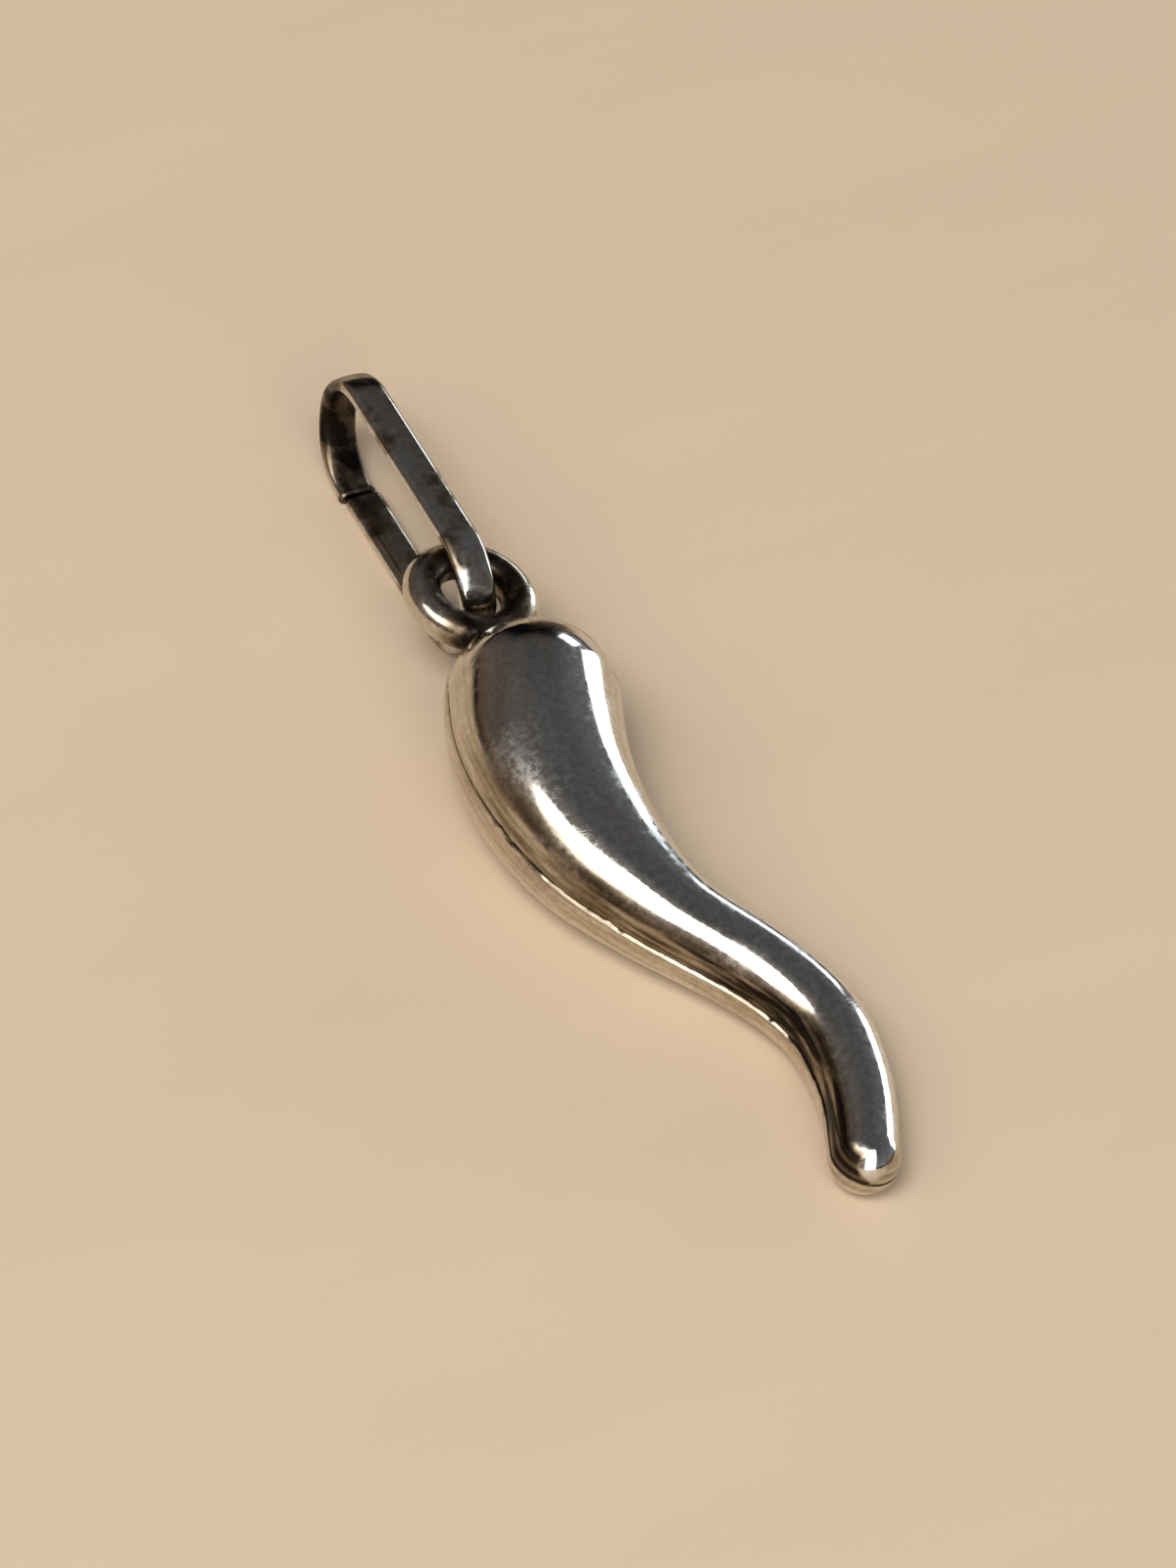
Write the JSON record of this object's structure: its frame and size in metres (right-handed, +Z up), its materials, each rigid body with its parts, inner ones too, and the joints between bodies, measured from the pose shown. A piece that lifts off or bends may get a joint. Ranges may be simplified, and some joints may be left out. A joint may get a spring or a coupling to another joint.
{
  "type": "horn (chili pepper) pendant",
  "caption": "Curved hollow silver horn charm with a soldered round-wire eyelet and a long oval bail of flat strip, lying on its side.",
  "frame": {"origin": "on the surface that the pendant lies on, under the middle of its bounding box", "axes": "+Y along the pendant's length from the tip towards the eyelet and the bail, +Z up from the surface, +X towards the side where the tail bends out"},
  "size_m": [0.007, 0.0338, 0.0054],
  "materials": {
    "silver": "polished silver with fine scratches, a haze of wear and a soldered seam",
    "bail_silver": "polished silver strip, a little tarnished on its flat faces"
  },
  "bodies": {
    "root": {"horn": "silver", "bail": "bail_silver"}
  },
  "joints": []
}
